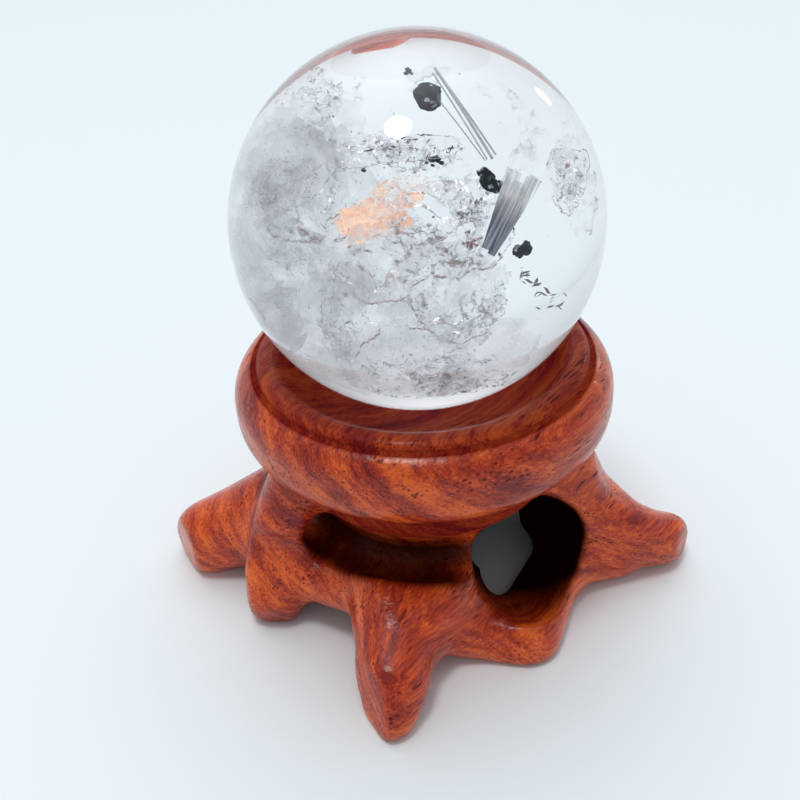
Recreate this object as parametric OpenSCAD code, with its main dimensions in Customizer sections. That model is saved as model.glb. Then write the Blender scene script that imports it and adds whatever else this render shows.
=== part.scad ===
// Crystal ball on a rosewood stand: a clear quartz sphere with mineral inclusions,
// a turned ring cup and a carved root foot. Millimetres, Z up.
// The origin is on the cup's axis, on the plane that the feet stand on.

/* [Crystal ball] */
// Diameter of the quartz sphere
ball_d = 45; // [44:0.5:46]
// Play between the sphere and its seat
seat_gap = 0.05; // [0.02:0.01:0.1]

/* [Ring cup] */
// Outside diameter over the rounded bead
cup_d = 49.4; // [48.8:0.2:50]
// Height of the rim above the floor
rim_z = 33.9; // [33.6:0.1:34.2]
// Diameter of the ring edge that the sphere rests on
seat_d = 20; // [18:0.5:22]
// Diameter of the plain drum below the bead
drum_d = 35; // [34:0.5:36]

/* [Root foot] */
// Height of the shelf that the drum stands on
shelf_z = 15.5; // [15:0.1:16]
// Diameter of the glued tenon between cup and foot
tenon_d = 16; // [14:0.5:18]
// Glue gap around the drum and the tenon
glue_gap = 0.05; // [0.03:0.01:0.1]
// Reach of the toes from the axis
toe_reach = 37; // [36:0.5:38]

/* [Hidden] */
$fn = 96;
// Overlap of joined or cut volumes
overlap = 1;
wood = [0.62, 0.27, 0.13];
dark_wood = [0.50, 0.19, 0.10];
quartz = [0.90, 0.92, 0.95, 0.35];
dark_mineral = [0.10, 0.14, 0.13];
grey_mineral = [0.55, 0.57, 0.62];

ball_r = ball_d / 2;
seat_r = seat_d / 2;
seat_z = rim_z - 3.1;
ball_z = seat_z + seat_gap + sqrt(ball_r * ball_r - seat_r * seat_r);

// Inclusions: [place in the sphere, radius, height, lean, heading], from the sphere's centre
speck_a = [[1.4, -1.2, 12.4], 1.25, 1.7, 35, 20];
speck_b = [[-0.1, 0.5, 14.2], 0.5, 0.8, 20, 60];
speck_c = [[6.3, -6.0, 6.4], 0.75, 2.8, 35, 170];
speck_d = [[8.9, -7.8, 0.6], 0.65, 1.9, 70, 20];
speck_e = [[1.6, -4.4, 7.8], 0.7, 0.9, 15, 80];
speck_f = [[-4.4, -4.4, 7.3], 0.35, 0.6, 50, 120];
NEEDLE_FROM = [2.1, 1.4, 13.7];
NEEDLE_TO = [6.8, -7.4, 9.5];
needle_r = 0.35;
BLADE_FROM = [9.2, -7.6, 6.9];
BLADE_TO = [5.9, -10.6, 1.7];
blade_r = 0.9;
blade_flat = 0.35;

// Bead: an upper and a lower arc joined by a short straight band
bead_r = cup_d / 2;
bead_top_arc = 4.2;
bead_low_arc = 4.9;
bead_top_z = rim_z - 5.1;
bead_low_z = rim_z - 6.7;
bead_foot_z = bead_low_z - bead_low_arc;
lip_arc = 1.8;
lip_r = 20;
bowl_sphere_r = 47;
bowl_fn = 360;
recess_z = seat_z - 3.4;
groove_arc = 0.45;
groove_r = 21.95;
groove_depth = 0.95;
drum_r = drum_d / 2;
drum_edge = 1.6;
tenon_r = tenon_d / 2;
tenon_l = 4.5;

// Root foot
// Facets of the root balls, the shell and the window
root_fn = 20;
round_fn = 60;
window_fn = 48;
shell_top_r = 16.6;
shell_waist_r = 15.2;
shell_foot_r = 17;
shell_waist_z = 12;
shell_foot_z = 5;
hollow_foot_r = 14.2;
hollow_top_r = 12;
hollow_z = 10;
// Niche: a scoop of radius niche_arc that runs round the front
niche_r = 17.9;
niche_z = 12.9;
niche_arc = 2.9;
niche_from = 212;
niche_turn = 66;
window_centre = [12.3, -13.2, 9.9];
window_reach = [7.7, 12.6, 7.1];
half_space = 90;
reach = toe_reach / 37;

// Each root is a chain of rows, and each row is one or more balls [x, y, z, radius]
FRONT_LEG = [[[-6.6, -14.4, 8.2, 5.2], [2.6, -14, 8.6, 4.6]], [[-5.8, -20, 6.8, 5.4], [-0.6, -19.4, 6.6, 5.4]],
             [[-5.4, -25, 5.2, 5.2]], [[-6.1, -29.5, 4.2, 4.8]], [[-6.8, -32.4 * reach, 2.2, 3.8]]];
LEFT_LEG = [[[-14, -2, 13, 6.5], [-16, 3, 11, 5]], [[-21, -1.6, 9, 6.4]], [[-27, -0.8, 5.8, 5.8]],
            [[-31.4, -0.6, 4, 5.4]], [[-33.4 * reach, 0.4, 3, 4]]];
RIGHT_LEG = [[[14.8, -7.5, 17.5, 3.8], [18.2, -3, 16.6, 4.6]], [[19.6, -7.2, 11, 4.6], [20.4, -3, 10, 5]],
             [[26, -7, 6.4, 4.6]], [[30.6, -6.3, 4, 4]], [[33 * reach, -5.6, 3.4, 3.6]]];
RIGHT_WALL = [[[19.6, -7.2, 11, 4.6], [18.4, 1, 11, 4.8]], [[19.2, -6, 3.4, 4.8], [18.8, 2, 3.4, 4.8]]];
BACK_LEG = [[[-3, 14, 11, 5.4], [7, 13, 11, 5.4]], [[2.6, 20, 8, 6], [5, 19.4, 7.6, 5.6]],
            [[5, 25.5, 5.4, 5.2]], [[6, 30, 4, 4.8]], [[6.4, 32.4 * reach, 2.6, 3.8]]];
LEFT_KNOB = [[[-16.6, -7.4, 18.6, 4.6]], [[-19.4, -9, 12, 4.8]], [[-20.6, -11.4, 6.6, 4.8]],
             [[-21.4, -12.6, 2.8, 4]]];
BACK_RIGHT_KNOB = [[[15.5, 7, 14, 5]], [[19, 11, 8.5, 4.8]], [[21.6, 14.6, 3.4, 3.8]]];
BACK_LEFT_KNOB = [[[-13.6, 10, 12, 5]], [[-16, 14.6, 7, 4.6]], [[-17.6, 18.4, 2.8, 3.4]]];
FRONT_LEFT_BRIDGE = [[[-19, -10.6, 6.8, 3.6]], [[-12.6, -14.6, 6.6, 3.4]], [[-6, -17, 8, 4.6]]];
FRONT_RIGHT_RING = [[[0, -20.2, 4.6, 4.4]], [[5.4, -19.2, 2.2, 4.2], [6.2, -21, 2.4, 3.4]],
                    [[11.4, -20.6, 1.8, 4.8]], [[15, -12.9, 2.6, 4.4]], [[18.6, -8.6, 4.4, 4.8]],
                    [[25.4, -7.2, 3.6, 4.4]]];
BACK_RIGHT_RING = [[[4, 21, 4.4, 4.2]], [[13, 19.6, 2.8, 3.4]], [[21.6, 14.6, 3, 3.6]]];
BACK_LEFT_RING = [[[3, 20.6, 5.6, 4]], [[-7, 19.6, 6, 3.2]], [[-16, 14.6, 6, 3.8]]];
LEFT_RING = [[[-16, 14.6, 5.6, 3.8]], [[-21.6, 6.4, 5.4, 3.4]], [[-24, 0, 5, 4.4]]];
ROOTS = [FRONT_LEG, LEFT_LEG, RIGHT_LEG, RIGHT_WALL, BACK_LEG, LEFT_KNOB, BACK_RIGHT_KNOB, BACK_LEFT_KNOB,
         FRONT_LEFT_BRIDGE, FRONT_RIGHT_RING, BACK_RIGHT_RING, BACK_LEFT_RING, LEFT_RING];

// Knife cuts on the toes: [a point on the cut, its outward direction]
CUTS = [[[-9.2, -31.5, 3], [-0.85, -0.46, 0.2]],
        [[-4.4, -34.4, 5], [0.4, -0.72, 0.55]],
        [[-35.6, -0.6, 3], [-0.88, -0.45, 0]],
        [[35.4, -6.6, 3], [0.84, -0.52, 0.1]],
        [[-21.4, -14.6, 7.4], [-0.29, -0.81, 0.5]],
        [[-20.6, -16, 3], [-0.1, -0.93, -0.35]],
        [[6.4, 34.4, 3], [0.3, 0.92, 0.25]]];
cut_size = 14;

// A six-sided prism centred on its place, leaning by lean degrees towards heading
module prism(spec) {
    translate(spec[0])
        rotate([0, spec[3], spec[4]])
            cylinder(h = spec[2], r = spec[1], center = true, $fn = 6);
}

// A six-sided prism from one point to another, with its width flattened by flat
module prism_between(from, to, radius, flat) {
    along = to - from;
    length = norm(along);
    translate(from)
        rotate([0, acos(along.z / length), atan2(along.y, along.x)])
            linear_extrude(height = length)
                prism_outline(radius, flat);
}

// Hexagon of the given radius, flat times as thick as it is wide
module prism_outline(radius, flat) {
    polygon([for (turn = [0:60:300]) [flat * radius * sin(turn), radius * cos(turn)]]);
}

module in_ball() {
    translate([0, 0, ball_z])
        children();
}

module needle() {
    prism_between(NEEDLE_FROM, NEEDLE_TO, needle_r, 1);
}

module blade() {
    prism_between(BLADE_FROM, BLADE_TO, blade_r, blade_flat);
}

module crystal_ball() {
    color(quartz)
        in_ball()
            difference() {
                sphere(r = ball_r);
                prism(speck_a);
                prism(speck_b);
                prism(speck_c);
                prism(speck_d);
                prism(speck_e);
                prism(speck_f);
                needle();
                blade();
            }
}

module dark_crystal(spec) {
    color(dark_mineral)
        in_ball()
            prism(spec);
}

module needle_crystal() {
    color(grey_mineral)
        in_ball()
            needle();
}

module blade_crystal() {
    color(grey_mineral)
        in_ball()
            blade();
}

// Half section of the turned cup
module cup_section() {
    difference() {
        union() {
            translate([bead_r - bead_top_arc, bead_top_z])
                circle(r = bead_top_arc);
            translate([bead_r - bead_low_arc, bead_low_z])
                circle(r = bead_low_arc);
            translate([seat_r, bead_low_z])
                square([bead_r - seat_r, bead_top_z - bead_low_z]);
            translate([lip_r, rim_z - lip_arc])
                circle(r = lip_arc);
            translate([0, bead_foot_z])
                square([lip_r, rim_z - bead_foot_z]);
            translate([0, shelf_z + drum_edge])
                square([drum_r, bead_low_z - shelf_z - drum_edge]);
            translate([0, shelf_z])
                square([drum_r - drum_edge, drum_edge]);
            translate([drum_r - drum_edge, shelf_z + drum_edge])
                circle(r = drum_edge);
            translate([0, shelf_z - tenon_l])
                square([tenon_r, tenon_l + overlap]);
        }
        translate([0, seat_z + sqrt(bowl_sphere_r * bowl_sphere_r - seat_r * seat_r)])
            circle(r = bowl_sphere_r, $fn = bowl_fn);
        translate([0, recess_z])
            square([seat_r, rim_z - recess_z]);
        translate([groove_r, rim_z - groove_depth])
            circle(r = groove_arc);
    }
}

module stand_cup() {
    color(wood)
        rotate_extrude()
            cup_section();
}

// One root: each pair of neighbouring rows is joined by a rounded length
module root(chain) {
    for (i = [0:len(chain) - 2])
        hull()
            for (ball = concat(chain[i], chain[i + 1]))
                translate([ball[0], ball[1], ball[2]])
                    sphere(r = ball[3], $fn = root_fn);
}

// The wall under the shelf, before its openings are cut
module shell() {
    rotate_extrude($fn = round_fn)
        polygon([[0, shell_foot_z], [shell_foot_r, shell_foot_z], [shell_waist_r, shell_waist_z],
                 [shell_top_r, shelf_z], [0, shelf_z]]);
}

// A block standing on the plane through at, on the side that out points to
module beyond(at, out) {
    translate(at)
        rotate([0, acos(out.z / norm(out)), atan2(out.y, out.x)])
            translate([-cut_size / 2, -cut_size / 2, 0])
                cube(cut_size);
}

// The oval window between the front leg and the right leg, which opens into the hollow
module window() {
    translate(window_centre)
        resize(2 * window_reach)
            sphere(r = 1, $fn = window_fn);
}

// The scooped niche under the drum, round the front of the foot
module niche() {
    rotate([0, 0, niche_from])
        rotate_extrude(angle = niche_turn, $fn = round_fn)
            translate([niche_r, niche_z])
                circle(r = niche_arc, $fn = root_fn);
    for (turn = [niche_from, niche_from + niche_turn])
        rotate([0, 0, turn])
            translate([niche_r, 0, niche_z])
                sphere(r = niche_arc, $fn = root_fn);
}

// The hollow under the shelf
module hollow() {
    translate([0, 0, -overlap])
        cylinder(h = hollow_z + overlap, r1 = hollow_foot_r, r2 = hollow_top_r, $fn = round_fn);
}

module root_foot() {
    color(dark_wood)
        difference() {
            union() {
                shell();
                for (chain = ROOTS)
                    root(chain);
            }
            window();
            niche();
            hollow();
            translate([0, 0, shelf_z])
                cylinder(h = rim_z, r = drum_r + glue_gap);
            translate([0, 0, hollow_z - overlap])
                cylinder(h = rim_z, r = tenon_r + glue_gap);
            translate([-half_space / 2, -half_space / 2, bead_foot_z - glue_gap])
                cube(half_space);
            translate([-half_space / 2, -half_space / 2, -half_space])
                cube(half_space);
            for (cut = CUTS)
                beyond(cut[0], cut[1]);
        }
}

crystal_ball();
dark_crystal(speck_a);  // dark_crystal_top
dark_crystal(speck_b);  // dark_crystal_small
dark_crystal(speck_c);  // dark_crystal_long
dark_crystal(speck_d);  // dark_crystal_low
dark_crystal(speck_e);  // dark_crystal_middle
dark_crystal(speck_f);  // dark_crystal_fleck
needle_crystal();
blade_crystal();
stand_cup();
root_foot();
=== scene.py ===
"""Visual model of a crystal ball on its rosewood stand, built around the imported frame.

The scene is in metres, Z up, with the origin on the cup's axis at the floor. Sizes on the object are
written in millimetres.
"""
import math
import random

import bmesh
import bpy
import numpy as np
import openvdb
from mathutils import Matrix, Vector, noise


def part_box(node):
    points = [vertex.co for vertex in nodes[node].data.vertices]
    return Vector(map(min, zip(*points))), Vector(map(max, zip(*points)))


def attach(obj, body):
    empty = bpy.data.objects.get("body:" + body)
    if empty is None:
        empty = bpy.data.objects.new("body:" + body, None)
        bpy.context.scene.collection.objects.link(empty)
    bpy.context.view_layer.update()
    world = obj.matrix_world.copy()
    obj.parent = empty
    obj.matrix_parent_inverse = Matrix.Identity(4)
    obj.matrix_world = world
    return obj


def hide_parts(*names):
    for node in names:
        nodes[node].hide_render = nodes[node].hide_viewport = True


MM = 0.001
SEED = 11

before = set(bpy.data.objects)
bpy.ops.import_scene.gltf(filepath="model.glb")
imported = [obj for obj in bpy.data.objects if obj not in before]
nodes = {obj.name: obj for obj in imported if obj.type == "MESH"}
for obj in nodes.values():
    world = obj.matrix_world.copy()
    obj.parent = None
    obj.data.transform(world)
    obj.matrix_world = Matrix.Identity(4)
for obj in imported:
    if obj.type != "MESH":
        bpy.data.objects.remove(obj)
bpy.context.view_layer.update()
scene = bpy.context.scene

ball_low, ball_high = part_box("crystal_ball")
BALL_CENTRE = (ball_low + ball_high) / 2
BALL_R = (ball_high.z - ball_low.z) / 2
CUP_LOW, CUP_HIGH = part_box("stand_cup")
FOOT_LOW, FOOT_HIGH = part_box("root_foot")

# The timber's long grain lies level, turned this far from +X towards +Y
GRAIN_ANGLE = math.radians(52)


# ---------------------------------------------------------------- camera, floor, light

def make_camera():
    """The photograph's view: looking down from the front, turned a little to one side."""
    focal_mm = 49.5
    pitch = math.radians(34.52)
    roll = math.radians(3.21)
    place = Vector((-3.2, -120.9, 108.55)) * MM
    data = bpy.data.cameras.new("camera")
    data.lens = focal_mm
    data.sensor_width = 36
    data.clip_start = 0.005
    camera = bpy.data.objects.new("camera", data)
    scene.collection.objects.link(camera)
    tilt = Matrix.Rotation(math.pi / 2 - pitch, 4, "X")
    turn = Matrix.Rotation(-roll, 4, "Z")
    camera.matrix_world = Matrix.Translation(place) @ tilt @ turn
    scene.camera = camera


def make_floor():
    """A plain pale table top, far larger than the view."""
    side = 3.0
    mesh = bpy.data.meshes.new("floor")
    half = side / 2
    corners = [(-half, -half, 0), (half, -half, 0), (half, half, 0), (-half, half, 0)]
    mesh.from_pydata(corners, [], [(0, 1, 2, 3)])
    floor = bpy.data.objects.new("floor", mesh)
    scene.collection.objects.link(floor)
    material = bpy.data.materials.new("floor")
    material.use_nodes = True
    shader = material.node_tree.nodes["Principled BSDF"]
    shader.inputs["Base Color"].default_value = (0.84, 0.90, 0.92, 1)
    shader.inputs["Roughness"].default_value = 0.55
    shader.inputs["Specular IOR Level"].default_value = 0.3
    mesh.materials.append(material)


def make_lamp(name, towards, size, energy, colour):
    """A soft round lamp, one metre from the sphere and turned to it."""
    towards = Vector(towards).normalized()
    data = bpy.data.lights.new(name, "AREA")
    data.shape = "DISK"
    data.size = size
    data.energy = energy
    data.color = colour
    lamp = bpy.data.objects.new(name, data)
    lamp.location = BALL_CENTRE + towards
    lamp.rotation_euler = towards.to_track_quat("Z", "Y").to_euler()
    scene.collection.objects.link(lamp)
    return lamp


def make_lights():
    """A lamp almost overhead, a small low one behind, and soft pale light from all round."""
    make_lamp("overhead_lamp", (-0.13, -0.155, 0.98), 0.245, 2.6, (1.0, 0.98, 0.95))
    low_lamp = make_lamp("low_lamp", (0.632, 0.731, 0.259), 0.11, 0.2, (1.0, 1.0, 1.0))
    # Hidden from refracted light, so that the sphere shows only its highlight
    low_lamp.visible_transmission = False
    world = bpy.data.worlds.new("world")
    scene.world = world
    world.use_nodes = True
    tree = world.node_tree
    background = tree.nodes["Background"]
    background.inputs["Color"].default_value = (0.90, 0.95, 1.0, 1)
    place = tree.nodes.new("ShaderNodeTexCoord")

    def facing(towards):
        node = tree.nodes.new("ShaderNodeVectorMath")
        node.operation = "DOT_PRODUCT"
        node.inputs[1].default_value = Vector(towards).normalized()
        tree.links.new(place.outputs["Generated"], node.inputs[0])
        return node.outputs["Value"]

    def math_step(operation, first, *others):
        node = tree.nodes.new("ShaderNodeMath")
        node.operation = operation
        for socket, value in zip(node.inputs, (first,) + others):
            if isinstance(value, float):
                socket.default_value = value
            else:
                tree.links.new(value, socket)
        return node.outputs[0]

    overhead = math_step("POWER", math_step("MAXIMUM", facing((-0.05, 0.47, 0.88)), 0.0), 7.0)
    height = facing((0.0, 0.0, 1.0))
    horizon = math_step("POWER", math_step("SUBTRACT", 1.0, math_step("MULTIPLY", height, height)), 8.0)
    total = math_step("MULTIPLY_ADD", horizon, 0.42, 0.42)
    total = math_step("MULTIPLY_ADD", overhead, 1.95, total)
    tree.links.new(total, background.inputs["Strength"])


def set_render_look():
    """Straight colours, and enough bounces for light to cross the sphere."""
    scene.view_settings.view_transform = "Standard"
    scene.view_settings.look = "None"
    cycles = scene.cycles
    cycles.max_bounces = 32
    cycles.transmission_bounces = 28
    cycles.transparent_max_bounces = 48
    cycles.diffuse_bounces = 4
    cycles.glossy_bounces = 8
    cycles.sample_clamp_indirect = 6
    cycles.use_denoising = True


# ---------------------------------------------------------------- material helpers

class Tree:
    """A small helper that adds nodes to one material and links them."""

    def __init__(self, name):
        self.material = bpy.data.materials.new(name)
        self.material.use_nodes = True
        self.nodes = self.material.node_tree.nodes
        self.links = self.material.node_tree.links
        self.shader = self.nodes["Principled BSDF"]

    def add(self, kind, **values):
        """Adds a node; values are its properties, or its inputs by name with spaces as underscores."""
        node = self.nodes.new(kind)
        for key, value in values.items():
            name = key.replace("_", " ")
            if hasattr(node, key):
                setattr(node, key, value)
            elif isinstance(value, bpy.types.NodeSocket):
                self.links.new(value, node.inputs[name])
            else:
                node.inputs[name].default_value = value
        return node

    def link(self, output, target):
        self.links.new(output, target)

    def ramp(self, value, stops):
        """A colour ramp over value; stops are (place, colour or grey)."""
        node = self.nodes.new("ShaderNodeValToRGB")
        self.links.new(value, node.inputs[0])
        ramp = node.color_ramp
        while len(ramp.elements) < len(stops):
            ramp.elements.new(0.5)
        for element, (place, colour) in zip(ramp.elements, stops):
            element.position = place
            if isinstance(colour, (int, float)):
                colour = (colour, colour, colour)
            element.color = (*colour, 1)
        return node.outputs["Color"]

    def mix(self, factor, first, second, blend="MIX"):
        node = self.nodes.new("ShaderNodeMix")
        node.data_type = "RGBA"
        node.blend_type = blend
        for socket, value in ((node.inputs[0], factor), (node.inputs[6], first), (node.inputs[7], second)):
            if isinstance(value, bpy.types.NodeSocket):
                self.links.new(value, socket)
            elif isinstance(value, tuple) and len(value) == 3:
                socket.default_value = (*value, 1)
            else:
                socket.default_value = value
        return node.outputs[2]

    def math(self, operation, first, second=0.0):
        node = self.nodes.new("ShaderNodeMath")
        node.operation = operation
        for socket, value in zip(node.inputs, (first, second)):
            if isinstance(value, bpy.types.NodeSocket):
                self.links.new(value, socket)
            else:
                socket.default_value = value
        return node.outputs[0]


def grain_space(tree):
    """Coordinates in millimetres: X runs along the timber's grain and Z across its growth rings."""
    place = tree.add("ShaderNodeTexCoord").outputs["Object"]
    turned = tree.add("ShaderNodeMapping", vector_type="TEXTURE")
    turned.inputs["Rotation"].default_value = (math.radians(38), math.radians(4), GRAIN_ANGLE)
    turned.inputs["Scale"].default_value = (MM, MM, MM)
    tree.link(place, turned.inputs["Vector"])
    return turned.outputs["Vector"]


def stretched(tree, vector, along, across, layered=1.0):
    """The same coordinates with features along by across millimetres, layered times wider within a ring."""
    node = tree.add("ShaderNodeMapping")
    node.inputs["Scale"].default_value = (1 / along, 1 / (across * layered), 1 / across)
    tree.link(vector, node.inputs["Vector"])
    return node.outputs["Vector"]


# The foot's niche and window, in millimetres, as in the part's source, where shade is painted; the niche's
# middle faces NICHE_FACING
NICHE_R = 17.9
NICHE_Z = 12.9
NICHE_FACING = (-0.42, -0.91, 0.0)
WINDOW_CENTRE = Vector((12.3, -13.2, 9.9))
WINDOW_REACH = Vector((7.7, 12.6, 7.1))
# Full scale, in millimetres, of the painted shade masks' ramps over a radius, a height or a depth
MASK_SPAN = 40


def painted_bowl_shade(tree):
    """Painted shade: how far the cup's bowl and its groove are darkened, less on the lip between them."""
    place = tree.add("ShaderNodeTexCoord").outputs["Object"]
    flat = tree.add("ShaderNodeVectorMath", operation="MULTIPLY")
    tree.link(place, flat.inputs[0])
    flat.inputs[1].default_value = (1, 1, 0)
    radius = tree.add("ShaderNodeVectorMath", operation="LENGTH")
    tree.link(flat.outputs[0], radius.inputs[0])
    radius_share = tree.math("DIVIDE", radius.outputs["Value"], MASK_SPAN * MM)
    return tree.ramp(radius_share, [(18.4 / MASK_SPAN, 1.0), (19.4 / MASK_SPAN, 0.7),
                                    (21.2 / MASK_SPAN, 0.7), (21.6 / MASK_SPAN, 1.0),
                                    (22.2 / MASK_SPAN, 1.0), (22.6 / MASK_SPAN, 0.0)])


def painted_recess_shade(tree):
    """Painted shade: how far the hollow, the window's depth and the niche under the drum are darkened."""
    place = tree.add("ShaderNodeTexCoord").outputs["Object"]
    parts = tree.add("ShaderNodeSeparateXYZ")
    tree.link(place, parts.inputs[0])
    level = tree.add("ShaderNodeCombineXYZ")
    tree.link(parts.outputs["X"], level.inputs["X"])
    tree.link(parts.outputs["Y"], level.inputs["Y"])
    radius = tree.add("ShaderNodeVectorMath", operation="LENGTH")
    tree.link(level.outputs[0], radius.inputs[0])
    radius_share = tree.math("DIVIDE", radius.outputs["Value"], MASK_SPAN * MM)
    inner = tree.ramp(radius_share, [(14.8 / MASK_SPAN, 1.0), (16.4 / MASK_SPAN, 0.82),
                                     (18.8 / MASK_SPAN, 0.0)])
    height_share = tree.math("DIVIDE", parts.outputs["Z"], MASK_SPAN * MM)
    below = tree.ramp(height_share, [(12.6 / MASK_SPAN, 1.0), (14.6 / MASK_SPAN, 0.0)])
    inner = tree.math("MULTIPLY", inner, below)
    outward = tree.math("SUBTRACT", radius_share, NICHE_R / MASK_SPAN)
    upward = tree.math("SUBTRACT", height_share, NICHE_Z / MASK_SPAN)
    off_ring = tree.math("SQRT", tree.math("ADD", tree.math("MULTIPLY", outward, outward),
                                           tree.math("MULTIPLY", upward, upward)))
    scooped = tree.math("MULTIPLY", tree.ramp(off_ring, [(3.0 / MASK_SPAN, 1.0), (4.2 / MASK_SPAN, 0.0)]),
                        tree.ramp(height_share, [(13.4 / MASK_SPAN, 1.0), (14.8 / MASK_SPAN, 0.0)]))
    forward = tree.add("ShaderNodeVectorMath", operation="DOT_PRODUCT")
    tree.link(level.outputs[0], forward.inputs[0])
    forward.inputs[1].default_value = NICHE_FACING
    turned = tree.math("DIVIDE", forward.outputs["Value"], radius.outputs["Value"])
    scooped = tree.math("MULTIPLY", scooped, tree.ramp(turned, [(0.76, 0.0), (0.86, 1.0)]))
    inner = tree.math("MAXIMUM", inner, tree.math("MULTIPLY", scooped, 0.85))
    window = tree.add("ShaderNodeMapping", vector_type="TEXTURE")
    window.inputs["Location"].default_value = WINDOW_CENTRE * MM
    window.inputs["Scale"].default_value = WINDOW_REACH * MM
    tree.link(place, window.inputs["Vector"])
    reach = tree.add("ShaderNodeVectorMath", operation="LENGTH")
    tree.link(window.outputs[0], reach.inputs[0])
    in_window = tree.ramp(tree.math("MULTIPLY", reach.outputs["Value"], 0.5), [(0.51, 1.0), (0.57, 0.0)])
    depth = tree.ramp(tree.math("DIVIDE", parts.outputs["Y"], -MASK_SPAN * MM), [(0.34, 1.0), (0.52, 0.25)])
    return tree.math("MAXIMUM", inner, tree.math("MULTIPLY", in_window, depth))


def wood_material(name, light, middle, dark, shade, shade_recesses=False):
    """Lacquered rosewood: growth bands, fibres and open pores that run with the grain."""
    tree = Tree(name)
    grain = grain_space(tree)
    warp = tree.add("ShaderNodeTexNoise", Scale=0.11, Detail=2.0)
    tree.link(grain, warp.inputs["Vector"])
    bent = tree.add("ShaderNodeVectorMath", operation="MULTIPLY_ADD")
    tree.link(warp.outputs["Color"], bent.inputs[0])
    bent.inputs[1].default_value = (2.0, 2.0, 2.0)
    tree.link(grain, bent.inputs[2])

    def layer(along, across, detail, roughness=0.6, layered=1.0):
        noise_node = tree.add("ShaderNodeTexNoise", Scale=1.0, Detail=detail, Roughness=roughness)
        tree.link(stretched(tree, bent.outputs[0], along, across, layered), noise_node.inputs["Vector"])
        return noise_node.outputs["Fac"]

    bands = layer(60, 2.6, 2.0, 0.5, 5.0)
    streaks = layer(22, 0.7, 3.0, 0.6, 4.0)
    fibre = layer(5.0, 0.24, 4.0, 0.7, 1.6)
    tone = tree.math("ADD", tree.math("MULTIPLY", bands, 0.7), tree.math("MULTIPLY", streaks, 0.55))
    tone = tree.math("ADD", tone, tree.math("MULTIPLY", fibre, 0.65))
    tone = tree.math("SUBTRACT", tone, 0.45)
    colour = tree.ramp(tone, [(0.34, light), (0.50, middle), (0.66, dark)])

    pore = tree.add("ShaderNodeTexVoronoi", feature="F1", Scale=1.0, Randomness=1.0)
    tree.link(stretched(tree, bent.outputs[0], 4.6, 0.5), pore.inputs["Vector"])
    gaps = layer(8, 2.5, 2.0)
    reach = tree.math("MULTIPLY", tree.math("SUBTRACT", gaps, 0.36), 0.95)
    pore_edge = tree.math("SUBTRACT", pore.outputs["Distance"], reach)
    pores = tree.ramp(pore_edge, [(0.0, 1.0), (0.09, 0.0)])
    colour = tree.mix(tree.math("MULTIPLY", pores, 0.72), colour, shade)
    # Painted shade: near black in the foot's hollow, window and niche, deep red in the cup's bowl and groove;
    # there the lacquer and sheen are lowered too
    if shade_recesses:
        shade_and_dull = painted_recess_shade(tree)
        colour = tree.mix(shade_and_dull, colour, (0.012, 0.0008, 0.0004))
    else:
        shade_and_dull = painted_bowl_shade(tree)
        colour = tree.mix(tree.math("MULTIPLY", shade_and_dull, 0.6), colour, (0.11, 0.003, 0.009))
    tree.link(colour, tree.shader.inputs["Base Color"])

    height = tree.math("MULTIPLY", fibre, 0.5)
    height = tree.math("SUBTRACT", height, tree.math("MULTIPLY", pores, 0.9))
    bump = tree.add("ShaderNodeBump", Strength=0.35, Distance=0.00015)
    tree.link(height, bump.inputs["Height"])
    tree.link(bump.outputs["Normal"], tree.shader.inputs["Normal"])
    tree.shader.inputs["Roughness"].default_value = 0.45
    dull = tree.math("SUBTRACT", 1.0, shade_and_dull)
    tree.link(tree.math("MULTIPLY", dull, 0.12), tree.shader.inputs["Specular IOR Level"])
    lacquer = tree.math("SUBTRACT", 0.72, tree.math("MULTIPLY", pores, 0.55))
    lacquer = tree.math("MULTIPLY", lacquer, tree.math("ADD", tree.math("MULTIPLY", dull, 0.95), 0.05))
    tree.link(lacquer, tree.shader.inputs["Coat Weight"])
    tree.shader.inputs["Coat Roughness"].default_value = 0.13
    tree.shader.inputs["Coat IOR"].default_value = 1.42
    ripple = tree.add("ShaderNodeTexNoise", Scale=0.55, Detail=3.0)
    tree.link(grain, ripple.inputs["Vector"])
    coat_height = tree.math("ADD", ripple.outputs["Fac"], tree.math("MULTIPLY", fibre, 0.16))
    coat_bump = tree.add("ShaderNodeBump", Strength=0.5, Distance=0.0003)
    tree.link(coat_height, coat_bump.inputs["Height"])
    tree.link(coat_bump.outputs["Normal"], tree.shader.inputs["Coat Normal"])
    return tree.material


def quartz_material():
    """Clear polished rock crystal."""
    tree = Tree("quartz")
    shader = tree.shader
    shader.inputs["Base Color"].default_value = (0.985, 0.99, 0.99, 1)
    shader.inputs["Roughness"].default_value = 0.0
    shader.inputs["IOR"].default_value = 1.544
    shader.inputs["Transmission Weight"].default_value = 1.0
    return tree.material


# ---------------------------------------------------------------- mesh helpers

def new_object(name, points, faces, material, smooth=True):
    """A mesh object from points in metres."""
    mesh = bpy.data.meshes.new(name)
    mesh.from_pydata([tuple(p) for p in points], [], [tuple(int(i) for i in f) for f in faces])
    mesh.validate()
    mesh.materials.append(material)
    if smooth:
        mesh.polygons.foreach_set("use_smooth", [True] * len(mesh.polygons))
    thing = bpy.data.objects.new(name, mesh)
    scene.collection.objects.link(thing)
    return thing


def mesh_arrays(thing):
    """A mesh's points, in millimetres, and its triangles."""
    mesh = thing.data
    mesh.calc_loop_triangles()
    points = np.zeros(len(mesh.vertices) * 3, np.float32)
    mesh.vertices.foreach_get("co", points)
    corners = np.zeros(len(mesh.loop_triangles) * 3, np.int32)
    mesh.loop_triangles.foreach_get("vertices", corners)
    return points.reshape(-1, 3) / MM, corners.reshape(-1, 3)


# ---------------------------------------------------------------- the carved foot

VOXEL = 0.4
FILLET = 2.0
# Voxels that the distance grid reaches beyond the fillet
SPARE_VOXELS = 3
# How far inside the cup's surface the foot's upper edge lies, out of sight
LAP = 0.2


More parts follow.
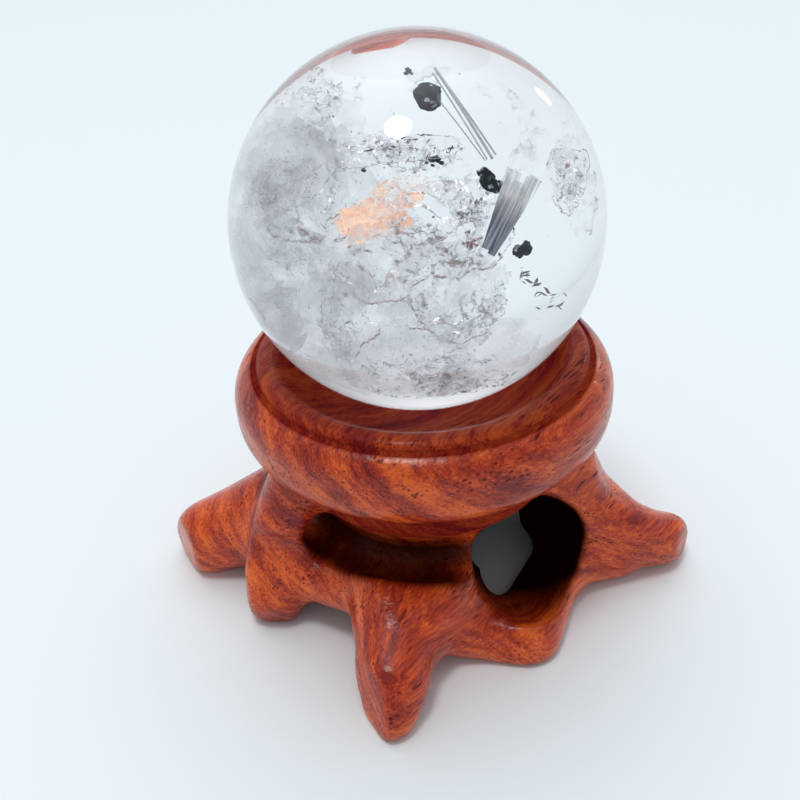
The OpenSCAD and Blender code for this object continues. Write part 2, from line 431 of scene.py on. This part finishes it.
def level_set(points, triangles, quads):
    """A signed distance grid of one or more overlapping closed meshes, in millimetres."""
    return openvdb.FloatGrid.createLevelSetFromPolygons(
        points=points, triangles=triangles, quads=quads,
        transform=openvdb.createLinearTransform(voxelSize=VOXEL), halfWidth=FILLET / VOXEL + SPARE_VOXELS)


def rounded_hollows(points, triangles):
    """The solid with every inside corner filled by a fillet: grown outwards, then cut back as far."""
    grid = level_set(points, triangles, np.zeros((0, 4), np.uint32))
    grown, quads = grid.convertToQuads(isovalue=FILLET)
    grid = level_set(grown, np.zeros((0, 3), np.uint32), quads)
    return grid.convertToQuads(isovalue=-FILLET)


def relaxed(points, quads, rounds, strength):
    """Laplacian smoothing: each point moves towards the mean of its neighbours."""
    pairs = np.concatenate([quads[:, [i, (i + 1) % 4]] for i in range(4)])
    pairs = np.concatenate([pairs, pairs[:, ::-1]])
    count = np.bincount(pairs[:, 0], minlength=len(points))[:, None]
    for _ in range(rounds):
        total = np.zeros_like(points)
        for axis in range(3):
            total[:, axis] = np.bincount(pairs[:, 0], points[pairs[:, 1], axis], len(points))
        points = points + strength * (total / np.maximum(count, 1) - points)
    return points


def ring_solid(profile, turns):
    """Points and triangles of a closed ring: the profile (radius, height) turned about Z."""
    steps = len(profile)
    points = []
    for turn in range(turns):
        angle = 2 * math.pi * turn / turns
        for radius, height in profile:
            points.append((radius * math.cos(angle), radius * math.sin(angle), height))
    triangles = []
    for turn in range(turns):
        here = turn * steps
        after = (turn + 1) % turns * steps
        for step in range(steps):
            up = (step + 1) % steps
            triangles.append((here + step, after + step, after + up))
            triangles.append((here + step, after + up, here + up))
    return np.array(points), np.array(triangles)


def cup_skirt():
    """The drum and the bead's underside, a little inside the true cup, for the roots to flow into."""
    drum_r = 17.5 - LAP
    shelf_z = 15.5
    arc_r = 4.9
    arc_z = 27.2
    arc_centre = 19.8
    top_z = 24.8
    inner_r = 13.0
    edge_r = 1.6
    profile = [(inner_r, shelf_z + LAP)]
    for step in range(7):
        angle = math.radians(-90 + 15 * step)
        profile.append((drum_r - edge_r + edge_r * math.cos(angle),
                        shelf_z + LAP + edge_r + edge_r * math.sin(angle)))
    profile.append((drum_r, arc_z - arc_r + 0.6))
    for step in range(9):
        angle = math.radians(-100 + 9 * step)
        profile.append((arc_centre + (arc_r - LAP) * math.cos(angle),
                        arc_z + (arc_r - LAP) * math.sin(angle)))
    profile = [(radius, min(height, top_z)) for radius, height in profile]
    profile.append((inner_r, top_z))
    return ring_solid(profile, turns=120)


def make_foot(material):
    """The carved root foot: the frame's foot with its inside corners filleted and its surface worn smooth."""
    points, triangles = mesh_arrays(nodes["root_foot"])
    skirt_points, skirt_triangles = cup_skirt()
    triangles = np.concatenate([triangles, skirt_triangles + len(points)]).astype(np.uint32)
    points = np.concatenate([points, skirt_points]).astype(np.float32)
    points, quads = rounded_hollows(points, triangles)
    quads = quads[:, ::-1].astype(np.int64)
    points = relaxed(points.astype(np.float64), quads, rounds=12, strength=0.5)
    low = np.array(FOOT_LOW) / MM
    high = np.array((FOOT_HIGH.x, FOOT_HIGH.y, CUP_HIGH.z)) / MM
    points = np.clip(points, low, high)
    foot = new_object("foot_carving", points * MM, quads, material)
    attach(foot, "stand")
    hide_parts("root_foot")


# ---------------------------------------------------------------- the sphere

def make_sphere(material):
    """The polished sphere, as a finely divided closed ball."""
    rings = 128
    turns = 256
    points = [(0, 0, BALL_R)]
    for ring in range(1, rings):
        polar = math.pi * ring / rings
        for turn in range(turns):
            angle = 2 * math.pi * turn / turns
            points.append((BALL_R * math.sin(polar) * math.cos(angle),
                           BALL_R * math.sin(polar) * math.sin(angle),
                           BALL_R * math.cos(polar)))
    points.append((0, 0, -BALL_R))
    faces = []
    for turn in range(turns):
        after = (turn + 1) % turns
        faces.append((0, 1 + turn, 1 + after))
        last = 1 + (rings - 2) * turns
        faces.append((len(points) - 1, last + after, last + turn))
        for ring in range(rings - 2):
            here = 1 + ring * turns
            below = here + turns
            faces.append((here + turn, below + turn, below + after, here + after))
    sphere = new_object("polished_sphere", [BALL_CENTRE + Vector(p) for p in points], faces, material)
    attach(sphere, "ball")
    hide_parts("crystal_ball")


# ---------------------------------------------------------------- inside the sphere

# Roughly towards the camera: a sheet with this normal is seen square on
FACING = Vector((0.0, -0.89, 0.45))
# The farthest that a sheet's point or a fleck's middle lies from the sphere's centre, in millimetres
SHEET_LIMIT = 21.6
FLECK_LIMIT = 21.0
# Gap between the two faces of an open crack, in millimetres
FILM_GAP = 0.05
# Random points whose hull makes one blocky grain
GRAIN_CORNERS = 26


def dark_material():
    """Almost black blue-green mineral, its grains of varied darkness; the palest cells are painted glints."""
    tree = Tree("dark_mineral")
    place = tree.add("ShaderNodeTexCoord").outputs["Object"]
    grains = tree.add("ShaderNodeTexVoronoi", Scale=2600.0)
    tree.link(place, grains.inputs["Vector"])
    grey = tree.add("ShaderNodeRGBToBW")
    tree.link(grains.outputs["Color"], grey.inputs[0])
    # The ramp's last stops paint pale glints on a few cells
    colour = tree.ramp(grey.outputs[0], [(0.0, (0.001, 0.004, 0.007)), (0.66, (0.003, 0.013, 0.019)),
                                         (0.76, (0.03, 0.07, 0.09)), (0.84, (0.50, 0.58, 0.62))])
    tree.link(colour, tree.shader.inputs["Base Color"])
    tree.shader.inputs["Roughness"].default_value = 0.35
    tree.shader.inputs["Specular IOR Level"].default_value = 0.1
    return tree.material


def blade_material(top, foot):
    """Fine stripes along the blade: clear and white at its top, dense and blue-grey at its foot."""
    tree = Tree("blade")
    place = tree.add("ShaderNodeTexCoord").outputs["Object"]
    turned = tree.add("ShaderNodeMapping", vector_type="TEXTURE")
    turned.inputs["Location"].default_value = BALL_CENTRE + top * MM
    turned.inputs["Rotation"].default_value = (foot - top).to_track_quat("Z", "Y").to_euler()
    turned.inputs["Scale"].default_value = (0.24 * MM, 0.24 * MM, 12 * MM)
    tree.link(place, turned.inputs["Vector"])
    stripes = tree.add("ShaderNodeTexNoise", Scale=1.0, Detail=3.0, Roughness=0.7)
    tree.link(turned.outputs["Vector"], stripes.inputs["Vector"])
    parts = tree.add("ShaderNodeSeparateXYZ")
    tree.link(turned.outputs["Vector"], parts.inputs[0])
    low = tree.ramp(parts.outputs["Z"], [(0.16, 0.0), (0.36, 1.0)])
    high_colour = tree.ramp(stripes.outputs["Fac"], [(0.40, (0.62, 0.63, 0.68)), (0.56, (1.0, 1.0, 1.0))])
    low_colour = tree.ramp(stripes.outputs["Fac"], [(0.47, (0.05, 0.07, 0.13)), (0.64, (0.62, 0.62, 0.72))])
    tree.link(tree.mix(low, high_colour, low_colour), tree.shader.inputs["Base Color"])
    high_alpha = tree.ramp(stripes.outputs["Fac"], [(0.46, 0.08), (0.62, 0.85)])
    tree.link(tree.mix(low, high_alpha, (0.92, 0.92, 0.92)), tree.shader.inputs["Alpha"])
    tree.shader.inputs["Roughness"].default_value = 0.3
    return tree.material


def veil_material(name, pale, dark_crease_reflection, cell, cover, crease, glow=0.0):
    """A partly healed fracture: pale clear panels between fine creases, darker with a painted reflection of
    dark surroundings.

    cell is the panels' size in millimetres, cover how much of the sheet shows, crease its lines' strength and
    glow the light that it gives off.
    """
    tree = Tree(name)
    place = tree.add("ShaderNodeTexCoord").outputs["Object"]
    scaled = tree.add("ShaderNodeMapping")
    scaled.inputs["Scale"].default_value = (1 / MM, 1 / MM, 1 / MM)
    tree.link(place, scaled.inputs["Vector"])
    warp = tree.add("ShaderNodeTexNoise", Scale=0.55 / cell, Detail=3.0)
    tree.link(scaled.outputs["Vector"], warp.inputs["Vector"])
    push = tree.add("ShaderNodeVectorMath", operation="MULTIPLY_ADD")
    tree.link(warp.outputs["Color"], push.inputs[0])
    push.inputs[1].default_value = (cell * 5, cell * 5, cell * 5)
    tree.link(scaled.outputs["Vector"], push.inputs[2])
    drawn_out = tree.add("ShaderNodeMapping")
    drawn_out.inputs["Rotation"].default_value = (0.0, 0.45, 0.3)
    drawn_out.inputs["Scale"].default_value = (0.34, 0.5, 1.15)
    tree.link(push.outputs[0], drawn_out.inputs["Vector"])
    cracks = tree.add("ShaderNodeTexVoronoi", feature="DISTANCE_TO_EDGE", Scale=0.8 / cell)
    tree.link(drawn_out.outputs["Vector"], cracks.inputs["Vector"])
    panels = tree.add("ShaderNodeTexVoronoi", feature="F1", Scale=0.8 / cell)
    tree.link(drawn_out.outputs["Vector"], panels.inputs["Vector"])
    panel_tone = tree.add("ShaderNodeRGBToBW")
    tree.link(panels.outputs["Color"], panel_tone.inputs[0])
    lines = tree.ramp(cracks.outputs["Distance"], [(0.0, 1.0), (0.05, 0.7), (0.13, 0.0)])
    patches = tree.add("ShaderNodeTexNoise", Scale=0.22 / cell, Detail=4.0, Roughness=0.6)
    tree.link(scaled.outputs["Vector"], patches.inputs["Vector"])
    present = tree.ramp(patches.outputs["Fac"], [(0.52 - cover * 0.2, 0.0), (0.62 - cover * 0.2, 1.0)])
    broken = tree.add("ShaderNodeTexNoise", Scale=1.1 / cell, Detail=2.0)
    tree.link(scaled.outputs["Vector"], broken.inputs["Vector"])
    broken_lines = tree.math("MULTIPLY", lines, tree.ramp(broken.outputs["Fac"], [(0.40, 0.0), (0.58, 1.0)]))
    panel_alpha = tree.ramp(panel_tone.outputs[0], [(0.25, 0.02), (0.55, cover * 0.35), (0.80, cover)])
    alpha = tree.math("MAXIMUM", panel_alpha, tree.math("MULTIPLY", broken_lines, crease))
    tree.link(tree.math("MULTIPLY", alpha, present), tree.shader.inputs["Alpha"])
    between = tuple(0.45 * one + 0.55 * other for one, other in zip(pale, dark_crease_reflection))
    panel_colour = tree.ramp(panel_tone.outputs[0], [(0.45, between), (0.70, pale)])
    colour = tree.mix(broken_lines, panel_colour, dark_crease_reflection)
    tree.link(colour, tree.shader.inputs["Base Color"])
    tree.shader.inputs["Roughness"].default_value = 0.22
    tree.shader.inputs["Specular IOR Level"].default_value = 0.8
    if glow:
        tree.link(colour, tree.shader.inputs["Emission Color"])
        tree.shader.inputs["Emission Strength"].default_value = glow
    return tree.material


def haze_material(name, colour, strength, size):
    """Fine milky clouding, in soft uneven patches; size is how wide they are in millimetres."""
    tree = Tree(name)
    place = tree.add("ShaderNodeTexCoord").outputs["Object"]
    scaled = tree.add("ShaderNodeMapping")
    scaled.inputs["Scale"].default_value = (1 / MM, 1 / MM, 1 / MM)
    tree.link(place, scaled.inputs["Vector"])
    soft = tree.add("ShaderNodeTexNoise", Scale=0.5 / size, Detail=5.0, Roughness=0.62, Distortion=0.6)
    tree.link(scaled.outputs["Vector"], soft.inputs["Vector"])
    alpha = tree.ramp(soft.outputs["Fac"], [(0.36, 0.0), (0.52, strength * 0.45), (0.68, strength)])
    tree.link(alpha, tree.shader.inputs["Alpha"])
    tone = tree.add("ShaderNodeTexNoise", Scale=1.4 / size, Detail=3.0)
    tree.link(scaled.outputs["Vector"], tone.inputs["Vector"])
    darker = tuple(0.70 * value for value in colour)
    mottled = tree.ramp(tone.outputs["Fac"], [(0.35, darker), (0.6, colour)])
    tree.link(mottled, tree.shader.inputs["Base Color"])
    tree.shader.inputs["Roughness"].default_value = 0.6
    tree.shader.inputs["Specular IOR Level"].default_value = 0.2
    return tree.material


def crumpled_sheet(centre, normal, twist, width, height, crumple, seed, columns=30, rows=20, jagged=0.3):
    """Points and quads, in millimetres from the sphere's centre, of a crumpled ragged sheet."""
    rng = random.Random(seed)
    normal = Vector(normal).normalized()
    across = normal.orthogonal().normalized()
    level = Vector((1, 0, 0)) - normal * normal.x
    if level.length > 0.1:
        across = level.normalized()
    across = Matrix.Rotation(math.radians(twist), 3, normal) @ across
    up = normal.cross(across)
    offset = Vector((seed * 7.3, seed * 3.1, seed * 5.7))
    points = []
    for row in range(rows + 1):
        for column in range(columns + 1):
            x = (2 * column / columns - 1) + rng.uniform(-jagged, jagged) / columns
            y = (2 * row / rows - 1) + rng.uniform(-jagged, jagged) / rows
            place = Vector(centre) + across * (x * width / 2) + up * (y * height / 2)
            fold = noise.noise((place + offset) * 0.22) * 1.6
            fold += abs(noise.noise((place + offset) * 0.55)) * 1.1
            fold += abs(noise.noise((place + offset) * 1.15)) * 0.45 + rng.uniform(-0.4, 0.4) * jagged
            point = place + normal * (fold * crumple)
            if point.length > SHEET_LIMIT:
                point = point * (SHEET_LIMIT / point.length)
            points.append(point)
    faces = []
    for row in range(rows):
        for column in range(columns):
            x = 2 * (column + 0.5) / columns - 1
            y = 2 * (row + 0.5) / rows - 1
            edge = math.hypot(x, y) + 0.30 * noise.noise(Vector((x * 2.2, y * 2.2, seed * 1.7)))
            if edge < 0.92:
                corner = row * (columns + 1) + column
                faces.append((corner, corner + 1, corner + columns + 2, corner + columns + 1))
    return points, faces


def joined(name, sheets, material, smooth=False):
    """One object, riding the ball, from several sheets given in millimetres from the sphere's centre."""
    points, faces = [], []
    for sheet_points, sheet_faces in sheets:
        start = len(points)
        points.extend(sheet_points)
        faces.extend(tuple(corner + start for corner in face) for face in sheet_faces)
    thing = new_object(name, [BALL_CENTRE + Vector(p) * MM for p in points], faces, material, smooth)
    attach(thing, "ball")
    return thing


def air_film(name, sheets, material):
    """An open crack: crumpled sheets with a thin gap between their two faces."""
    thing = joined(name, sheets, material, True)
    build = bmesh.new()
    build.from_mesh(thing.data)
    bmesh.ops.solidify(build, geom=build.faces[:], thickness=FILM_GAP * MM)
    bmesh.ops.recalc_face_normals(build, faces=build.faces)
    build.to_mesh(thing.data)
    build.free()


def dashes(name, count, start, end, scatter, length, material, seed):
    """Short dark slivers strewn along a line."""
    rng = random.Random(seed)
    sheets = []
    for index in range(count):
        share = (index + rng.random()) / count
        place = Vector(start).lerp(Vector(end), share)
        place += Vector((rng.gauss(0, scatter), rng.gauss(0, scatter), rng.gauss(0, scatter)))
        heading = rng.choice((0.5, -0.6, 1.3, 0.2)) + rng.uniform(-0.3, 0.3)
        first = Vector((math.cos(heading), 0.0, math.sin(heading)))
        second = FACING.cross(first).normalized()
        half = length * rng.uniform(0.35, 1.0) / 2
        wide = half * rng.uniform(0.14, 0.3)
        corners = [place - first * half, place - second * wide + first * half * 0.3,
                   place + first * half, place + second * wide - first * half * 0.2]
        sheets.append((corners, [(0, 1, 2, 3)]))
    joined(name, sheets, material)


def flecks(name, count, centre, spread, size, material, seed):
    """A cloud of tiny flat flakes scattered through an ellipsoid."""
    rng = random.Random(seed)
    sheets = []
    while len(sheets) < count:
        offset = Vector((rng.gauss(0, 0.5), rng.gauss(0, 0.5), rng.gauss(0, 0.5)))
        place = Vector(centre) + Vector((offset.x * spread[0], offset.y * spread[1], offset.z * spread[2]))
        if place.length > FLECK_LIMIT:
            continue
        flake = size * rng.uniform(0.3, 1.0) ** 1.5
        normal = (FACING + Vector((rng.uniform(-1, 1), rng.uniform(-1, 1), rng.uniform(-1, 1)))).normalized()
        first = normal.orthogonal().normalized()
        first = Matrix.Rotation(rng.uniform(0, math.tau), 3, normal) @ first
        second = normal.cross(first)
        corners = []
        for step in range(5):
            angle = math.tau * step / 5 + rng.uniform(-0.4, 0.4)
            reach = flake * rng.uniform(0.5, 1.0)
            corners.append(place + first * (reach * math.cos(angle))
                           + second * (0.6 * reach * math.sin(angle)))
        sheets.append((corners, [(0, 1, 2, 3, 4)]))
    joined(name, sheets, material)


def crystal_cluster(node_name, chunks, core, material, seed):
    """A dark crystal made of intergrown blocky grains.

    core is how much of it the biggest grain fills, and a core of 1 makes it as wide as it is long.
    """
    rng = random.Random(seed)
    node_points, _ = mesh_arrays(nodes[node_name])
    middle = Vector(node_points.mean(axis=0))
    centred = node_points - node_points.mean(axis=0)
    values, axes = np.linalg.eigh(np.cov(centred.T))
    reach = [float(np.abs(centred @ axes[:, i]).max()) for i in range(3)]
    if core == 1.0:
        reach = [max(reach)] * 3
    axes = [Vector(axes[:, i]) for i in range(3)]
    build = bmesh.new()
    for chunk in range(chunks):
        share = core if chunk == 0 else rng.uniform(0.26, 0.5)
        place = middle.copy()
        for axis, span in zip(axes, reach):
            place += axis * (span * (1 - share) * rng.uniform(-1.1, 1.1))
        corners = []
        for _ in range(GRAIN_CORNERS):
            corner = Vector((rng.gauss(0, 1), rng.gauss(0, 1), rng.gauss(0, 1))).normalized()
            offset = Vector((0, 0, 0))
            for axis, span, part in zip(axes, reach, corner):
                offset += axis * (part * span * share * 1.12)
            corners.append(build.verts.new((place + offset) * MM))
        bmesh.ops.convex_hull(build, input=corners, use_existing_faces=False)
    loose = [vert for vert in build.verts if not vert.link_faces]
    bmesh.ops.delete(build, geom=loose, context="VERTS")
    bmesh.ops.recalc_face_normals(build, faces=build.faces)
    mesh = bpy.data.meshes.new(node_name + "_grains")
    build.to_mesh(mesh)
    build.free()
    mesh.materials.append(material)
    thing = bpy.data.objects.new(node_name + "_grains", mesh)
    scene.collection.objects.link(thing)
    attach(thing, "ball")
    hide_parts(node_name)


def hair(start, end, thick):
    """A hair-thin six-sided prism between two points."""
    start, end = Vector(start), Vector(end)
    first = (end - start).orthogonal().normalized()
    second = (end - start).normalized().cross(first)
    points = []
    for place in (start, end):
        for step in range(6):
            angle = math.tau * step / 6
            points.append(place + (first * math.cos(angle) + second * math.sin(angle)) * thick)
    faces = [(step, (step + 1) % 6, (step + 1) % 6 + 6, step + 6) for step in range(6)]
    return points, faces + [tuple(reversed(range(6))), tuple(range(6, 12))]


def blade_plates(top, foot, count, seed):
    """A sheaf of long thin plates, spread at the top and drawn together at the foot."""
    rng = random.Random(seed)
    along = (foot - top).normalized()
    across = along.cross(FACING).normalized()
    sheets = []
    for index in range(count):
        spread = 2 * index / (count - 1) - 1
        high = top + across * (spread * 1.45) - along * rng.uniform(-0.9, 0.8)
        low = foot + across * (spread * 0.45) - along * rng.uniform(0.0, 1.6)
        depth = FACING * (0.25 * math.cos(spread * 1.5) + rng.uniform(-0.04, 0.04))
        width = across * rng.uniform(0.3, 0.5)
        slope = FACING * rng.uniform(-0.05, 0.05)
        front = [high - width + depth, high + width + depth + slope,
                 low + width * 0.7 + depth + slope, low - width * 0.7 + depth]
        back = [point - FACING * 0.06 for point in front]
        faces = [(0, 1, 2, 3), (7, 6, 5, 4), (0, 4, 5, 1), (1, 5, 6, 2), (2, 6, 7, 3), (3, 7, 4, 0)]
        sheets.append((front + back, faces))
    return sheets


def make_inclusions():
    """Everything seen inside the quartz: dark crystals, needles, fractures, clouds and flecks."""
    dark = dark_material()
    dark_crystals = [("dark_crystal_top", 5, 1.0), ("dark_crystal_small", 6, 0.6),
                     ("dark_crystal_long", 30, 0.5), ("dark_crystal_low", 22, 0.5),
                     ("dark_crystal_middle", 12, 0.5), ("dark_crystal_fleck", 4, 0.6)]
    for index, (name, chunks, core) in enumerate(dark_crystals):
        crystal_cluster(name, chunks, core, dark, SEED + index)

    rod = Tree("needle")
    rod.shader.inputs["Base Color"].default_value = (0.62, 0.61, 0.68, 1)
    rod.shader.inputs["Roughness"].default_value = 0.2
    rods = joined("needle_rods", [
        hair((2.1, 1.4, 13.7), (6.8, -7.4, 9.5), 0.16),
        hair((2.3, 0.9, 13.6), (7.1, -6.6, 9.4), 0.10),
        hair((1.9, 1.0, 13.4), (6.3, -7.2, 9.3), 0.08)], rod.material)
    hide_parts("needle_crystal")
    top = Vector((9.5, -7.4, 7.3))
    foot = Vector((5.8, -10.7, 1.5))
    blade = joined("blade_plates", blade_plates(top, foot, 11, 62), blade_material(top, foot))
    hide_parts("blade_crystal")
    joined("needle_hairs", [hair((1.5, -0.6, 12.9), (6.0, -5.2, 8.0), 0.06)], rod.material)

    lace = veil_material("veil_lace", (0.93, 0.93, 0.96), (0.22, 0.19, 0.22), 0.75, 0.4, 0.9)
    joined("veil_front", [
        crumpled_sheet((0.5, -5.5, 9.0), FACING, -6, 9.5, 3.2, 1.0, 1),
        crumpled_sheet((1.5, -6.5, 4.6), (0.2, -0.8, 0.6), 15, 10, 8.5, 1.1, 2),
        crumpled_sheet((4.2, -7.4, 2.6), (-0.3, -0.9, 0.3), -30, 7, 6.5, 1.2, 3),
        crumpled_sheet((0.2, -8.0, 0.8), (0.1, -0.7, 0.7), 8, 10, 6, 1.0, 4)], lace)
    rope = veil_material("veil_rope", (0.88, 0.86, 0.91), (0.20, 0.16, 0.19), 0.65, 0.5, 0.9)
    joined("veil_rope", [
        crumpled_sheet((-1.0, -9.4, -1.6), (0.5, -0.8, 0.2), -62, 6.5, 2.4, 1.1, 5),
        crumpled_sheet((0.8, -9.8, -4.8), (-0.2, -0.9, 0.4), -50, 6, 3.2, 1.1, 6),
        crumpled_sheet((3.6, -9.6, -6.6), (0.2, -0.8, 0.5), 14, 6, 3.0, 1.0, 7),
        crumpled_sheet((6.2, -9.0, -4.0), (-0.2, -0.9, 0.1), 68, 6, 2.6, 1.1, 8),
        crumpled_sheet((3.0, -8.2, -3.4), FACING, 10, 7, 5.5, 1.0, 9),
        crumpled_sheet((-1.0, -9.4, -10.2), (0.0, -0.8, 0.6), 4, 14, 4.2, 1.0, 10),
        crumpled_sheet((0.6, -9.6, -12.0), (0.0, -0.8, 0.6), 3, 13, 4.0, 1.0, 34),
        crumpled_sheet((3.4, -6.0, -12.2), (0.1, -0.5, 0.9), -6, 12, 5.4, 1.0, 11)], rope)
    facets = veil_material("veil_facets", (0.86, 0.85, 0.90), (0.22, 0.20, 0.24), 0.9, 0.45, 0.8)
    joined("veil_side", [
        crumpled_sheet((13.2, -2.0, 6.0), (0.6, -0.6, 0.4), 60, 9, 4.6, 1.0, 12),
        crumpled_sheet((14.4, -1.6, 2.8), (0.4, -0.8, 0.2), 75, 8, 4.0, 1.0, 13),
        crumpled_sheet((-8.0, 0.6, 11.4), (-0.2, -0.7, 0.6), 35, 6, 4.0, 1.2, 14),
        crumpled_sheet((-6.8, -3.0, 9.2), (-0.4, -0.8, 0.4), -48, 7, 3.0, 1.0, 15),
        crumpled_sheet((-9.8, 3.6, 12.0), (0.0, -0.8, 0.6), 28, 6, 4.0, 1.0, 16)], facets)
    wisp = veil_material("veil_wisps", (0.92, 0.92, 0.95), (0.30, 0.29, 0.34), 1.2, 0.25, 0.5)
    joined("veil_wisps", [
        crumpled_sheet((8.0, -1.0, 10.0), (0.2, -0.8, 0.6), -40, 10, 5.0, 1.1, 63),
        crumpled_sheet((9.6, -4.6, 6.6), (0.4, -0.8, 0.4), 60, 7, 4.0, 1.1, 64),
        crumpled_sheet((-1.0, 0.0, 14.0), (0.0, -0.7, 0.7), 10, 10, 4.0, 1.1, 66)], wisp)
    # Painted light: peach sheets, glowing a little, stand for the orange wood's reflection seen in a fracture
    painted_wood_glow = veil_material("veil_painted_wood_glow", (1.0, 0.73, 0.56), (0.92, 0.46, 0.32), 0.7, 1.0, 0.7, glow=0.3)
    joined("veil_painted_wood_glow", [
        crumpled_sheet((-3.6, -7.4, 4.6), (-0.1, -0.8, 0.6), 34, 8.5, 3.6, 0.9, 17),
        crumpled_sheet((-1.6, -6.8, 6.4), (0.2, -0.9, 0.4), 20, 6.0, 3.0, 0.9, 18),
        crumpled_sheet((-5.4, -7.2, 4.0), (0.1, -0.9, 0.4), -10, 4.6, 2.6, 0.8, 19),
        crumpled_sheet((-2.6, -7.0, 3.2), (0.1, -0.8, 0.5), 12, 5.0, 2.2, 0.9, 33)], painted_wood_glow)

    film = Tree("air_film")
    film.shader.inputs["Base Color"].default_value = (0.97, 0.96, 0.98, 1)
    film.shader.inputs["Roughness"].default_value = 0.02
    # Air in quartz has 0.65; this was picked to soften the cracks' dark outlines
    film.shader.inputs["IOR"].default_value = 0.76
    film.shader.inputs["Transmission Weight"].default_value = 1.0
    fine = {"columns": 64, "rows": 44, "jagged": 0.0}
    air_film("open_cracks", [
        crumpled_sheet((1.6, -6.0, 4.0), (0.2, -0.7, 0.7), 12, 10, 6, 1.3, 50, **fine),
        crumpled_sheet((2.8, -9.0, -4.2), (-0.3, -0.8, 0.5), -20, 10, 6, 1.3, 51, **fine),
        crumpled_sheet((0.2, -4.8, 9.2), (0.1, -0.6, 0.8), -5, 10, 2.6, 1.2, 52, **fine),
        crumpled_sheet((-9.6, -4.0, 5.0), (-0.4, -0.8, 0.5), 30, 9, 8, 1.3, 53, **fine),
        crumpled_sheet((-6.8, -6.8, -6.0), (0.4, -0.8, 0.4), 70, 8, 6, 1.3, 54, **fine),
        crumpled_sheet((13.4, -2.6, 4.4), (0.6, -0.5, 0.5), 62, 8, 4.4, 1.2, 55, **fine),
        crumpled_sheet((-3.6, -3.0, 8.4), (-0.1, -0.8, 0.6), 8, 8, 3.4, 1.2, 56, **fine),
        crumpled_sheet((4.4, -4.6, 0.4), (0.0, -0.9, 0.4), 35, 9, 6, 1.3, 57, **fine),
        crumpled_sheet((-3.6, -5.6, -1.0), (-0.2, -0.9, 0.4), -15, 9, 7, 1.3, 58, **fine)], film.material)

    haze = haze_material("milky_haze", (0.94, 0.93, 0.98), 0.42, 2.6)
    joined("cloud_left", [
        crumpled_sheet((-11.0, -5.0, 3.0), (-0.3, -0.85, 0.4), 10, 15, 20, 0.9, 20),
        crumpled_sheet((-10.0, -1.0, 1.0), (-0.2, -0.85, 0.45), 30, 18, 18, 1.0, 21),
        crumpled_sheet((-8.5, 3.0, -1.0), (-0.1, -0.9, 0.4), -20, 18, 20, 1.0, 22),
        crumpled_sheet((-7.0, -7.0, -6.0), (-0.2, -0.8, 0.5), 20, 14, 12, 1.0, 23),
        crumpled_sheet((-5.0, -2.0, -9.0), (0.0, -0.8, 0.6), -10, 20, 12, 1.0, 24),
        crumpled_sheet((-11.5, -3.0, 7.5), (-0.3, -0.8, 0.5), 50, 10, 12, 1.0, 25),
        crumpled_sheet((0.0, -7.5, -9.5), (0.0, -0.8, 0.6), 0, 22, 9, 1.0, 35),
        crumpled_sheet((2.0, -9.0, -3.0), (0.1, -0.8, 0.5), 10, 13, 12, 1.0, 36)], haze, True)
    cap = haze_material("milky_cap", (0.72, 0.68, 0.78), 0.8, 1.6)
    joined("cloud_back", [
        crumpled_sheet((-9.4, 9.0, -9.6), (-0.5, 0.65, -0.55), 0, 8, 7, 0.5, 62)], cap, True)
    frost = haze_material("white_frost", (0.93, 0.93, 0.96), 0.8, 1.1)
    joined("frost_left", [
        crumpled_sheet((-8.4, -8.8, -2.6), (0.5, -0.8, 0.1), 78, 7, 2.4, 1.0, 26),
        crumpled_sheet((-7.8, -9.2, -6.0), (0.1, -0.9, 0.3), 100, 6, 2.6, 1.0, 27),
        crumpled_sheet((-12.4, -4.0, 6.4), (-0.3, -0.9, 0.2), 20, 8, 6.0, 1.0, 28),
        crumpled_sheet((-11.6, -5.6, 1.6), (-0.2, -0.9, 0.4), -30, 8, 5.0, 1.0, 29)], frost)
    pale_fleck = Tree("pale_fleck")
    pale_fleck.shader.inputs["Base Color"].default_value = (0.92, 0.92, 0.95, 1)
    pale_fleck.shader.inputs["Roughness"].default_value = 0.2
    flecks("flecks_left", 900, (-10.5, -4.5, 1.0), (8, 5, 11), 0.22, pale_fleck.material, 40)
    flecks("flecks_low", 260, (0.0, -7.5, -9.0), (9, 4, 5), 0.2, pale_fleck.material, 41)
    grey_fleck = Tree("grey_fleck")
    grey_fleck.shader.inputs["Base Color"].default_value = (0.22, 0.19, 0.21, 1)
    grey_fleck.shader.inputs["Roughness"].default_value = 0.3
    dashes("dashes_right", 26, (8.4, -8.6, -0.8), (12.2, -6.4, -6.0), 0.45, 1.2, grey_fleck.material, 42)
    dashes("dashes_veil", 40, (-4.6, -4.2, 9.6), (3.4, -4.8, 8.8), 0.5, 0.9, grey_fleck.material, 44)
    flecks("specks_grey", 160, (-6.0, -4.0, 5.0), (15, 6, 10), 0.16, grey_fleck.material, 43)


# ---------------------------------------------------------------- build

make_camera()
make_floor()
make_lights()
set_render_look()

cup_wood = wood_material("turned_rosewood", (0.72, 0.115, 0.014), (0.44, 0.038, 0.007),
                         (0.17, 0.007, 0.005), (0.05, 0.003, 0.003))
foot_wood = wood_material("carved_rosewood", (0.80, 0.140, 0.018), (0.52, 0.052, 0.009),
                          (0.23, 0.011, 0.006), (0.05, 0.003, 0.003), shade_recesses=True)
cup = nodes["stand_cup"]
cup.data.materials.clear()
cup.data.materials.append(cup_wood)
make_foot(foot_wood)
make_sphere(quartz_material())
make_inclusions()
